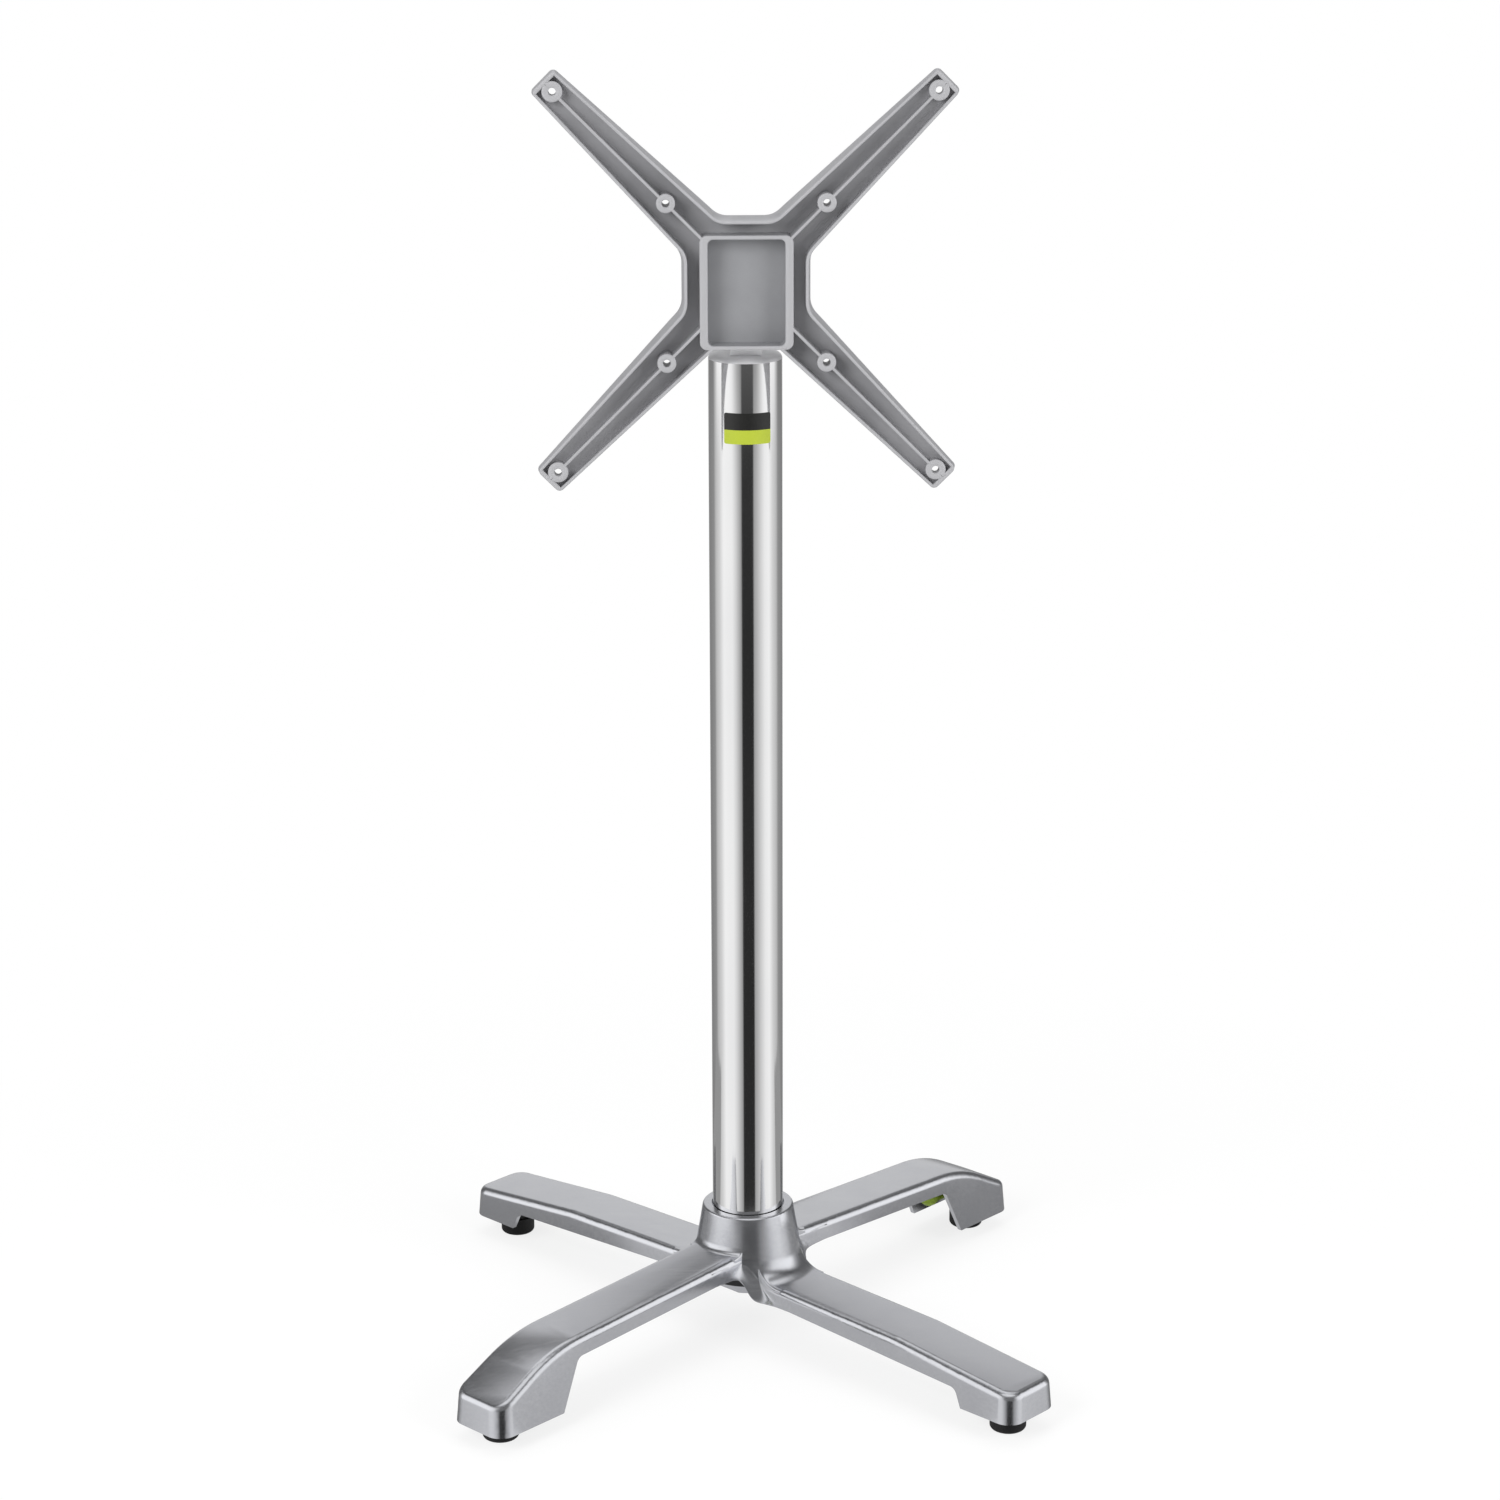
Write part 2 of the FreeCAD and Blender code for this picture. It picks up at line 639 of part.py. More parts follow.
# Hinge: two bushes pressed into the tongue, a bolt through the cheeks and its nut.
for side, start in (("left", "-#tongue_half"), ("right", "1")):
    keep("hinge_bush_" + side, cut(
        "HingeBush" + side.title(),
        cylinder(
            "BushOuter" + side.title(), "#bush_radius", "#tongue_half - 1",
            x=start, y="-#pivot_back", z="#pivot_z", axis=Y_AXIS, angle=90),
        cylinder(
            "BushInner" + side.title(), "#bolt_radius + #running_fit", "100",
            x="-50", y="-#pivot_back", z="#pivot_z", axis=Y_AXIS, angle=90)))
keep("hinge_bolt", fuse("HingeBolt", [
    cylinder(
        "BoltShank", "#bolt_radius", "2 * #cheek_outer + #hinge_nut_height + #bolt_tail",
        x="-#cheek_outer - #hinge_nut_height - #bolt_tail", y="-#pivot_back", z="#pivot_z",
        axis=Y_AXIS, angle=90),
    prism(
        "BoltHead", "#bolt_flats", "#bolt_head_height",
        x="#cheek_outer", y="-#pivot_back", z="#pivot_z", axis=Y_AXIS, angle=90),
]))
keep("hinge_nut", cut(
    "HingeNut",
    prism(
        "HingeNutHex", "#bolt_flats", "#hinge_nut_height",
        x="-#cheek_outer - #hinge_nut_height", y="-#pivot_back", z="#pivot_z", axis=Y_AXIS, angle=90),
    cylinder(
        "HingeNutHole", "#bolt_radius + #running_fit", "100",
        x="-80", y="-#pivot_back", z="#pivot_z", axis=Y_AXIS, angle=90)))

# Feet: a black barrel inside each boot, a piston in it, and a cupped pad that slides over the barrel.
for number, angle, kind in leg_names():
    def turned(label, item):
        set_item = turned_copy(label.title().replace("_", "") + "Turned", item, angle)
        return keep(label, set_item)

    tag = str(number)
    barrel_top = "#" + kind + "_barrel_top"
    bladder_top = "#" + kind + "_bladder_top"
    line = "#" + kind + "_line"
    neck = "#" + kind + "_neck"
    barrel = fuse("FootBarrel" + tag, [
        cylinder("BarrelBody" + tag, "#barrel_radius", barrel_top + " - #barrel_bottom",
                 x="#foot_reach", z="#barrel_bottom"),
        cylinder("BarrelFlange" + tag, "#flange_radius", "#flange_height", x="#foot_reach", z="#flange_bottom"),
        box("BarrelPort" + tag, "#fluid_port - #piston_radius - 1", "10", "10",
            x="#foot_reach - #fluid_port", y="-5", z=neck + " - 5"),
    ])
    turned("foot_cylinder_" + tag, cut("FootCylinder" + tag, barrel, cylinder(
        "BarrelBore" + tag, "#piston_radius + #running_fit", "#bore_length + 5",
        x="#foot_reach", z="#barrel_bottom - 5")))
    turned("foot_piston_" + tag, cylinder(
        "PistonRod" + tag, "#piston_radius", "#piston_length", x="#foot_reach", z="#pad_floor"))
    disc = rounded(
        "PadRound" + tag, cylinder("PadDisc" + tag, "#pad_radius", "#pad_height", x="#foot_reach"),
        lambda edge: edge.CenterOfMass.z < 1 and edge.BoundBox.XLength > 20, dim("pad_round"))
    turned("foot_pad_" + tag, cut("PadCup" + tag, disc, cylinder(
        "PadBore" + tag, "#barrel_radius + #barrel_clearance", "#pad_height", x="#foot_reach", z="#pad_floor")))
    ball = doc.addObject("Part::Sphere", "BladderBottom" + tag)
    bind(ball, Radius=millimetres("#bladder_radius"))
    bladder_low = bladder_top + " - #" + kind + "_bladder_length + #bladder_radius"
    at(ball, "#bladder_reach", "0", bladder_low)
    turned("fluid_bladder_" + tag, fuse("FluidBladder" + tag, [
        ball,
        cylinder("BladderBody" + tag, "#bladder_radius", "#" + kind + "_bladder_length - #bladder_radius",
                 x="#bladder_reach", z=bladder_low),
        cylinder("BladderNeck" + tag, "#neck_radius", "#foot_reach - #fluid_port - #bladder_reach",
                 x="#bladder_reach", z=neck, axis=Y_AXIS, angle=90),
        box("BladderPort" + tag, "#bladder_radius - 4", "2 * #port_half", "2 * #port_half",
            x="#bladder_reach - #bladder_radius - 1", y="#port_side", z=line + " - #port_half"),
    ]))
    turned("fluid_line_" + tag, cylinder(
        "FluidLine" + tag, "#line_radius", "#bladder_reach - #bladder_radius - 1 - #port_face",
        x="#port_face", y="#port_side + #port_half", z=line, axis=Y_AXIS, angle=90))

# Junction of the four lines: a ring round the hub boss with a riser and a port for each leg.
ring_ports = []
for number, angle, kind in leg_names():
    line = "#" + kind + "_line"
    foot = "#ring_bottom" if kind == "high" else line + " - #port_half"
    head = line + " + #port_half" if kind == "high" else "#ring_bottom + #ring_height"
    port = fuse("RingPort%d" % number, [
        box("RingRiser%d" % number, "#ring_wall", "2 * #port_half", head + " - (" + foot + ")",
            x="#boss_radius + 1", y="#port_side", z=foot),
        box("RingOutlet%d" % number, "#port_face - #boss_radius - 1", "2 * #port_half", "2 * #port_half",
            x="#boss_radius + 1", y="#port_side", z=line + " - #port_half")])
    ring_ports.append(turned_copy("RingPortTurned%d" % number, port, angle))
keep("line_junction", cut(
    "LineJunction",
    fuse("JunctionSolid", [cylinder("JunctionOuter", "#ring_radius", "#ring_height", z="#ring_bottom")] + ring_ports),
    cylinder("JunctionInner", "#boss_radius", "200")))

# Top spider. Its own frame has the pivot at the origin, X along the hinge and Z towards the face that
# carries the table top. Placed upright, that Z points to the front and its Y points up.

def spider_points(tip, half, root_reach, root_half):
    """Outline of four arms along X and Y with straight notches between them."""
    corners = []
    for turn in range(4):
        for px, py in ((tip, "-(" + half + ")"), (tip, half), (root_reach, root_half), (root_half, root_reach)):
            for _ in range(turn):
                px, py = "-(" + py + ")", px
            corners.append((px, py))
    return corners


def spider_prism(name, points, height, taper, start, root_round, tip_round):
    """Prism of the spider outline with rounded upright edges."""
    body = pad_body(name, "XY_Plane", points, height, taper, offset=start)
    middle = 0.5 * dim("arm_tip")
    roots = rounded(
        name + "Roots", body,
        lambda edge: upright(edge) and math.hypot(edge.CenterOfMass.x, edge.CenterOfMass.y) < middle, root_round)
    if tip_round == 0.0:
        return roots
    return rounded(
        name + "Tips", roots,
        lambda edge: upright(edge) and math.hypot(edge.CenterOfMass.x, edge.CenterOfMass.y) > middle, tip_round)


def dished(name, lift):
    """Disc whose underside rises as a cone from the hub to the arm tips, raised by lift."""
    return revolved_body(name, [
        ("0", "#spider_back + " + lift), ("#cone_start", "#spider_back + " + lift),
        ("#arm_tip", "#spider_face - #cone_end_depth + " + lift),
        ("#arm_tip + 20", "#spider_face - #cone_end_depth + " + lift),
        ("#arm_tip + 20", "#spider_face + 4"), ("0", "#spider_face + 4"),
    ])


spider_outer = common(
    "SpiderOuter",
    spider_prism(
        "SpiderStar", spider_points("#arm_tip", "#arm_tip_half", "#arm_root_reach", "#arm_root_half"),
        "#spider_face - #spider_back", "-#arm_draft", "#spider_back", dim("arm_root_corner"), dim("arm_tip_corner")),
    dished("SpiderDish", "0"))
spider_hollow = common(
    "SpiderHollow",
    spider_prism(
        "HollowStar", spider_points(
            "#arm_tip - #arm_end_wall", "#arm_tip_half - #arm_wall_tip",
            "#arm_root_reach - 0.45 * #arm_wall_root", "#arm_root_half - #arm_wall_root"),
        "#spider_face", None, "#spider_back", dim("arm_root_corner") + 2.0, 0.0),
    dished("HollowDish", "#arm_floor"))
spider_shell = cut("SpiderShell", spider_outer, spider_hollow)

# Ribs along the arms and the screw bosses on them.
raised = []
for n in range(4):
    arm = fuse("ArmSet%d" % n, [
        box("ArmRib%d" % n, "#arm_tip - 44", "#spider_rib", "#spider_face - #spider_back + 2",
            "40", "-0.5 * #spider_rib", "#spider_back - 1"),
        cylinder("OuterBoss%d" % n, "#outer_boss_radius", "#spider_face - #spider_back + 2",
                 x="1.41421356 * #outer_half_spacing", z="#spider_back - 1"),
        cylinder("InnerBoss%d" % n, "#inner_boss_radius", "#spider_face - #spider_back + 2",
                 x="1.41421356 * #inner_half_spacing", z="#spider_back - 1"),
    ])
    raised.append(turned_copy("ArmSetTurned%d" % n, arm, 90.0 * n))
spider_raised = common("SpiderRaised", fuse("RaisedSet", raised), spider_outer)
holes = []
for n in range(4):
    hole = fuse("ArmHoles%d" % n, [
        cylinder("OuterHole%d" % n, "#bolt_hole_radius", "80", x="1.41421356 * #outer_half_spacing", z="-10"),
        cylinder("InnerHole%d" % n, "#bolt_hole_radius", "80", x="1.41421356 * #inner_half_spacing", z="-10"),
    ])
    holes.append(turned_copy("ArmHolesTurned%d" % n, hole, 90.0 * n))
spider_star = cut("SpiderStarCast", fuse("SpiderStarSolid", [spider_shell, spider_raised]), fuse("ArmHoleSet", holes))
star_turned = turned_copy("SpiderStarTurned", spider_star, 45.0)
at(star_turned, y="#pattern_centre", axis=Z_AXIS, angle=45.0)


def round_box(name, width, length, corner, low, high):
    """Box around the column axis with rounded upright edges."""
    block = box(
        name, width, length, high + " - (" + low + ")",
        x="-0.5 * " + width, y="#box_centre - 0.5 * " + length, z=low)
    return rounded(name + "Round", block, lambda edge: upright(edge), corner)


hub_box = round_box("HubBox", "#box_width", "#box_length", dim("box_corner"), "#spider_back", "#spider_face")
recess = round_box("HubRecess", "#recess_width", "#recess_length", dim("recess_corner"), "#recess_floor", "#spider_face + 5")

# Cheeks of the tilt hinge, and lugs for the release lever, under the box.
under = []
for side in (-1, 1):
    tag = "Left" if side < 0 else "Right"
    start = "-#cheek_outer" if side < 0 else "#tongue_half + #cheek_gap"
    cheek = pad_body("Cheek" + tag, "YZ_Plane", [
        ("-22", "#spider_back + 1"), ("-#cheek_round", "0"), ("#cheek_round", "0"),
        ("30", "#spider_back + 1")], "#cheek_thickness", offset=start)
    eye = cylinder("CheekEye" + tag, "#cheek_round", "#cheek_thickness", x=start, axis=Y_AXIS, angle=90)
    lug_start = "-#lug_half_gap - #lug_thickness" if side < 0 else "#lug_half_gap"
    lug = pad_body("Lug" + tag, "YZ_Plane", [
        ("#lever_pin_reach - 8", "#spider_back + 1"), ("#lever_pin_reach - 5.5", "#lever_pin_height"),
        ("#lever_pin_reach + 5.5", "#lever_pin_height"), ("#lever_pin_reach + 8", "#spider_back + 1")],
        "#lug_thickness", offset=lug_start)
    lug_eye = cylinder(
        "LugEye" + tag, "5.5", "#lug_thickness", x=lug_start, y="#lever_pin_reach", z="#lever_pin_height",
        axis=Y_AXIS, angle=90)
    under += [cheek, eye, lug, lug_eye]
spider_solid = fuse("SpiderSolid", [cut("HubBoxStar", star_turned, recess), cut("HubBoxHollow", hub_box, recess)] + under)
spider_bores = fuse("SpiderBores", [
    cylinder("CheekBore", "#bolt_radius + #running_fit", "100", x="-50", axis=Y_AXIS, angle=90),
    cylinder(
        "LugBore", "#lever_pin_radius + #running_fit", "100", x="-50", y="#lever_pin_reach", z="#lever_pin_height",
        axis=Y_AXIS, angle=90),
])
top_spider = cut("TopSpider", spider_solid, spider_bores)


def upright_place(item):
    """Stand a piece of the spider frame upright at the pivot."""
    at(item, y="-#pivot_back", z="#pivot_z", axis=X_AXIS, angle=90.0)
    return item


upright_place(top_spider)

# Release lever: barrel on its pin, a nose towards the tongue and a flat handle.
lever_barrel = cylinder(
    "LeverBarrel", "#lever_barrel_radius", "2 * #lever_half - 12", x="-#lever_half + 6",
    y="#lever_pin_reach", z="#lever_pin_height", axis=Y_AXIS, angle=90)
lever_blade = pad_body("LeverBlade", "YZ_Plane", [
    ("#lever_pin_reach - #lever_barrel_radius + 1", "#lever_pin_height"),
    ("#nose_reach", "-#nose_low + #nose_thickness"), ("#nose_reach", "-#nose_low"),
    ("#nose_reach + 3", "-#nose_low"),
    ("#lever_pin_reach + 3", "#lever_pin_height - 4.5"),
    ("#lever_end", "#lever_pin_height - 4.5 - #lever_plate"),
    ("#lever_end", "#lever_pin_height - 4.5"),
    ("#lever_pin_reach + 2", "#lever_pin_height + 3"),
    ("#lever_pin_reach - 2", "#lever_pin_height + 3"),
], "2 * #lever_half - 12", midplane=True)
lever = cut("Lever", fuse("LeverSolid", [lever_barrel, lever_blade]), cylinder(
    "LeverBore", "#lever_pin_radius + #running_fit", "100", x="-50", y="#lever_pin_reach", z="#lever_pin_height",
    axis=Y_AXIS, angle=90))
upright_place(lever)
lever_pin = upright_place(turned_copy("LeverPin", fuse("LeverPinSolid", [
    cylinder(
        "LeverPinShank", "#lever_pin_radius", "2 * (#lug_half_gap + #lug_thickness) + 2",
        x="-#lug_half_gap - #lug_thickness - 1", y="#lever_pin_reach", z="#lever_pin_height",
        axis=Y_AXIS, angle=90),
    cylinder(
        "LeverPinHead", "#lever_pin_radius + 1.5", "2",
        x="#lug_half_gap + #lug_thickness", y="#lever_pin_reach", z="#lever_pin_height",
        axis=Y_AXIS, angle=90)]), 0.0))

# Coil spring on the lever pin, between the barrel and the right lug.
coil_path = doc.addObject("Part::Helix", "SpringPath")
bind(coil_path, Radius="#spring_radius * 1 mm", Pitch="#spring_pitch * 1 mm",
     Height="#spring_pitch * #spring_turns * 1 mm")
coil_section = doc.addObject("Part::RegularPolygon", "SpringSection")
coil_section.Polygon = 4
bind(coil_section, Circumradius="#spring_wire * 1 mm")
at(coil_section, x="#spring_radius", axis=X_AXIS, angle=90.0)
doc.recompute()
coil = doc.addObject("Part::Sweep", "SpringCoil")
coil.Sections = [coil_section]
coil.Spine = (coil_path, ["Edge%d" % (n + 1) for n in range(len(coil_path.Shape.Edges))])
coil.Solid = True
coil.Frenet = True
coil_across = doc.addObject("Part::Compound", "SpringAcross")
coil_across.Links = [coil]
at(coil_across, x="#lever_half - 6 + #spring_wire + 0.1", y="#lever_pin_reach", z="#lever_pin_height",
   axis=Y_AXIS, angle=90.0)
lever_spring = upright_place(turned_copy("LeverSpring", coil_across, 0.0))

keep("top_spider", top_spider)
keep("release_lever", lever)
keep("lever_pin", lever_pin)
keep("lever_spring", lever_spring)

# Every object has to be sound before anything is written.
doc.recompute()
faulty = [item.Name for item in doc.Objects if "Invalid" in item.State or "Error" in item.State]
for label, item in parts:
    if item.Shape.isNull() or not item.Shape.isValid() or not item.Shape.Solids:
        faulty.append(label)
if faulty:
    raise RuntimeError("faulty objects: " + ", ".join(faulty))

os.makedirs("parts", exist_ok=True)
for label, item in parts:
    item.Shape.exportStep("parts/" + label + ".step")
    print(label, len(item.Shape.Solids), round(item.Shape.Volume))
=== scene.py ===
import json
import math

import bmesh
import bpy
import numpy as np
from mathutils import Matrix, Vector

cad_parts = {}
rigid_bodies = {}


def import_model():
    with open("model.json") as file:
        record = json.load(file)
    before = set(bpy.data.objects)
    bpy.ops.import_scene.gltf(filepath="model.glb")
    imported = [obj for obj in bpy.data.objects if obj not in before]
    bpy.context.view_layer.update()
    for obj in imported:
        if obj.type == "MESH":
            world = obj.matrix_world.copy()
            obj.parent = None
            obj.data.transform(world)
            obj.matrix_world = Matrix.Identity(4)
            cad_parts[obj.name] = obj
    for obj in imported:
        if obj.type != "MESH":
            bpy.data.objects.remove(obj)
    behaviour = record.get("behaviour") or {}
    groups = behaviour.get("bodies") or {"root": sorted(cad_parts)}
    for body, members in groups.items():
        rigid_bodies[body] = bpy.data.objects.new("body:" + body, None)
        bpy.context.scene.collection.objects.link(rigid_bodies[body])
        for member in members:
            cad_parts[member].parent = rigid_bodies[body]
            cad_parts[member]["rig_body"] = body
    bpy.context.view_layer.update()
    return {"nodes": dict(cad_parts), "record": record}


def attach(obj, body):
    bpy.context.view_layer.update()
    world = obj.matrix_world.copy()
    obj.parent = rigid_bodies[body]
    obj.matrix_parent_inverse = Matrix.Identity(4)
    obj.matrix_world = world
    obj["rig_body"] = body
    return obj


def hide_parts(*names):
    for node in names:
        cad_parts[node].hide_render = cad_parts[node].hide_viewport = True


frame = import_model()

# Places of the solids that the finishes and the added pieces follow, in metres

SPIDER_FACE = -0.062        # y of the plane in which the upright spider's ribs, rims and bosses end
CREST_WIDTH = 0.0011        # sloped border of those crests
BOX_MIDDLE = 1.0595         # height of the middle of the spider's box
BOX_HALF_WIDTH = 0.0372
BOX_HALF_HEIGHT = 0.0508
LABEL_SEAT = 0.03502        # the column's radius with a film of glue
LABEL_LOW, LABEL_SPLIT, LABEL_HIGH = 0.9117, 0.9251, 0.9412

# The hub in millimetres: a cone that widens downwards, and a leg's flank, which leans in with height

CONE_TOP, CONE_TOP_RADIUS, CONE_FLARE = 132.0, 45.0, 0.17
FLANK_HALF_WIDTH, FLANK_LEAN = 36.6, 0.0612

# Node material helpers


def bare_material(name):
    """Node material with an output alone; returns the material, its node tree and the output."""
    material = bpy.data.materials.new(name)
    material.use_nodes = True
    tree = material.node_tree
    tree.nodes.clear()
    return material, tree, tree.nodes.new("ShaderNodeOutputMaterial")


def new_material(name):
    """Node material with a Principled shader; returns the material, its node tree and the shader."""
    material, tree, output = bare_material(name)
    shader = tree.nodes.new("ShaderNodeBsdfPrincipled")
    tree.links.new(shader.outputs["BSDF"], output.inputs["Surface"])
    return material, tree, shader


def glow_material(name):
    """Material that only glows; returns the material, its node tree and the emission node."""
    material, tree, output = bare_material(name)
    glow = tree.nodes.new("ShaderNodeEmission")
    tree.links.new(glow.outputs["Emission"], output.inputs["Surface"])
    return material, tree, glow


def object_point(tree):
    return tree.nodes.new("ShaderNodeTexCoord").outputs["Object"]


def coordinates(tree, point):
    """The outputs X, Y and Z of a point."""
    node = tree.nodes.new("ShaderNodeSeparateXYZ")
    tree.links.new(point, node.inputs["Vector"])
    return node.outputs


def stretched(tree, point, scale, turn=0.0):
    """The object point scaled, and turned about the vertical, before it reaches a texture."""
    mapping = tree.nodes.new("ShaderNodeMapping")
    mapping.inputs["Scale"].default_value = scale
    mapping.inputs["Rotation"].default_value = (0, 0, turn)
    tree.links.new(point, mapping.inputs["Vector"])
    return mapping.outputs["Vector"]


def noise(tree, point, scale, detail=4.0, roughness=0.55):
    texture = tree.nodes.new("ShaderNodeTexNoise")
    texture.inputs["Scale"].default_value = scale
    texture.inputs["Detail"].default_value = detail
    texture.inputs["Roughness"].default_value = roughness
    tree.links.new(point, texture.inputs["Vector"])
    return texture.outputs["Fac"]


def span(tree, value, low, high, from_low=0.3, from_high=0.7):
    """Map a value from one range to another, held at the ends; noise lies mostly within 0.3 to 0.7."""
    node = tree.nodes.new("ShaderNodeMapRange")
    node.inputs["From Min"].default_value = from_low
    node.inputs["From Max"].default_value = from_high
    node.inputs["To Min"].default_value = low
    node.inputs["To Max"].default_value = high
    tree.links.new(value, node.inputs["Value"])
    return node.outputs["Result"]


def arithmetic(tree, kind, first, second=0.0):
    """One arithmetic node; each input is a socket or a number."""
    node = tree.nodes.new("ShaderNodeMath")
    node.operation = kind
    for slot, value in zip(node.inputs, (first, second)):
        if isinstance(value, float):
            slot.default_value = value
        else:
            tree.links.new(value, slot)
    return node.outputs["Value"]


def blend(tree, factor, first, second, kind="RGBA"):
    """Mix of two colours, or of two numbers where the kind is FLOAT; a colour is a socket or a tuple."""
    node = tree.nodes.new("ShaderNodeMix")
    node.data_type = kind
    tree.links.new(factor, node.inputs["Factor"])
    for name, value in (("A", first), ("B", second)):
        if isinstance(value, tuple):
            node.inputs[name].default_value = (*value, 1)
        else:
            tree.links.new(value, node.inputs[name])
    return node.outputs["Result"]


def grey_ramp(tree, value, stops):
    """Grey level between stops; each stop is a place from 0 to 1 and a level."""
    node = tree.nodes.new("ShaderNodeValToRGB")
    tree.links.new(value, node.inputs["Fac"])
    marks = node.color_ramp.elements
    while len(marks) > 1:
        marks.remove(marks[-1])
    (first_place, first_level), *others = stops
    marks[0].position = first_place
    marks[0].color = (first_level, first_level, first_level, 1)
    for place, level in others:
        marks.new(place).color = (level, level, level, 1)
    return node.outputs["Color"]


def bump(tree, shader, height, strength, depth):
    """Relief of a depth in metres from a height between 0 and 1."""
    node = tree.nodes.new("ShaderNodeBump")
    node.inputs["Strength"].default_value = strength
    node.inputs["Distance"].default_value = depth
    tree.links.new(height, node.inputs["Height"])
    tree.links.new(node.outputs["Normal"], shader.inputs["Normal"])


def seen_ray(tree):
    """1 for rays from the camera, from a mirror-like surface or through glass, and 0 for the others."""
    path = tree.nodes.new("ShaderNodeLightPath")
    mirrored = arithmetic(tree, "MAXIMUM", path.outputs["Is Glossy Ray"], path.outputs["Is Transmission Ray"])
    return arithmetic(tree, "MAXIMUM", path.outputs["Is Camera Ray"], mirrored)


def choose_shader(tree, factor, first, second, output):
    """Send the first shader to the output where the factor is 0, and the second where it is 1."""
    choice = tree.nodes.new("ShaderNodeMixShader")
    tree.links.new(factor, choice.inputs["Fac"])
    tree.links.new(first, choice.inputs[1])
    tree.links.new(second, choice.inputs[2])
    tree.links.new(choice.outputs["Shader"], output.inputs["Surface"])


# Finishes


def plain(name, dark, light, rough, metal, grain, depth):
    """Moulded, cast or turned surface: fine grain in its roughness and relief, a broad cloud in its tint.

    dark and light end the tint, rough is the mean roughness, metal the metallic share, grain the scale of the
    fine noise and depth its relief in metres.
    """
    material, tree, shader = new_material(name)
    point = object_point(tree)
    fine = noise(tree, point, grain, 5.0)
    broad = noise(tree, point, 0.08 * grain, 2.0)
    tree.links.new(blend(tree, span(tree, broad, 0, 1), dark, light), shader.inputs["Base Color"])
    tree.links.new(span(tree, fine, rough - 0.06, rough + 0.06), shader.inputs["Roughness"])
    shader.inputs["Metallic"].default_value = metal
    bump(tree, shader, fine, 0.35, depth)
    return material


def polished_metal():
    """Polished tube: fine drawn lines along its length and a faint haze."""
    material, tree, shader = new_material("polished_tube")
    point = object_point(tree)
    drawn = noise(tree, stretched(tree, point, (1, 1, 0.01)), 900, 3.0)
    haze = noise(tree, stretched(tree, point, (1, 1, 0.3)), 14)
    tree.links.new(blend(tree, span(tree, haze, 0, 1), (0.90, 0.90, 0.905), (0.955, 0.955, 0.955)),
                   shader.inputs["Base Color"])
    tree.links.new(span(tree, haze, 0.07, 0.12), shader.inputs["Roughness"])
    shader.inputs["Metallic"].default_value = 1.0
    bump(tree, shader, drawn, 0.04, 0.00004)
    return material


def brushed_casting():
    """Satin casting: brush lines along each leg, over a broad cloud.

    The legs lie on the two diagonals of the base. The lines are a fine noise, drawn out along the one diagonal
    where x times y is positive, and along the other elsewhere.
    """
    material, tree, shader = new_material("satin_casting")
    point = object_point(tree)
    axes = coordinates(tree, point)
    product = arithmetic(tree, "MULTIPLY", axes["X"], axes["Y"])
    rising, falling = (
        noise(tree, stretched(tree, point, (0.03, 1, 1), turn), 380, 4.0, 0.6)
        for turn in (-math.pi / 4, math.pi / 4))
    lines = blend(tree, arithmetic(tree, "GREATER_THAN", product, 0.0), falling, rising, "FLOAT")
    cloud = noise(tree, point, 22)
    base = blend(tree, span(tree, cloud, 0, 1), (0.60, 0.608, 0.645), (0.66, 0.668, 0.70))
    streak = blend(tree, span(tree, lines, 0, 1), (0.60, 0.608, 0.645), (0.68, 0.687, 0.715))
    tree.links.new(blend(tree, span(tree, cloud, 0.3, 0.7), base, streak), shader.inputs["Base Color"])
    tree.links.new(span(tree, lines, 0.22, 0.27), shader.inputs["Roughness"])
    shader.inputs["Metallic"].default_value = 1.0
    bump(tree, shader, lines, 0.015, 0.00005)
    return material


def spider_casting():
    """As-cast spider: pebbled grey arms, a darker tint in the middle box, and a painted highlight on the
    crests.

    The crests of the ribs, rims and bosses, where that highlight is painted, are what lies within 0.9 mm of the
    face plane, whole from 0.1 mm.
    """
    material, tree, shader = new_material("cast_spider")
    point = object_point(tree)
    axes = coordinates(tree, point)
    # Where the painted highlight lies: the crests, fading in over their sloped border
    crest_highlight = span(tree, axes["Y"], 0, 1, SPIDER_FACE + 0.0009, SPIDER_FACE + 0.0001)
    across = arithmetic(tree, "ABSOLUTE", axes["X"])
    along = arithmetic(tree, "ABSOLUTE", arithmetic(tree, "SUBTRACT", axes["Z"], BOX_MIDDLE))
    in_box = arithmetic(tree, "MULTIPLY",
                        arithmetic(tree, "LESS_THAN", across, BOX_HALF_WIDTH),
                        arithmetic(tree, "LESS_THAN", along, BOX_HALF_HEIGHT))
    pebble = noise(tree, point, 700)
    shade = span(tree, noise(tree, point, 16), 0, 1)
    arms = blend(tree, shade, (0.34, 0.34, 0.355), (0.42, 0.42, 0.435))
    middle = blend(tree, shade, (0.295, 0.298, 0.312), (0.345, 0.349, 0.364))
    cast = blend(tree, in_box, arms, middle)
    # Painted highlight: the crests get a lighter grey in place of the bright lines that light draws along them
    tree.links.new(blend(tree, crest_highlight, cast, (0.45, 0.45, 0.465)), shader.inputs["Base Color"])
    tree.links.new(span(tree, pebble, 0.42, 0.58), shader.inputs["Roughness"])
    shader.inputs["Metallic"].default_value = 0.3
    bump(tree, shader, pebble, 0.08, 0.00025)
    return material


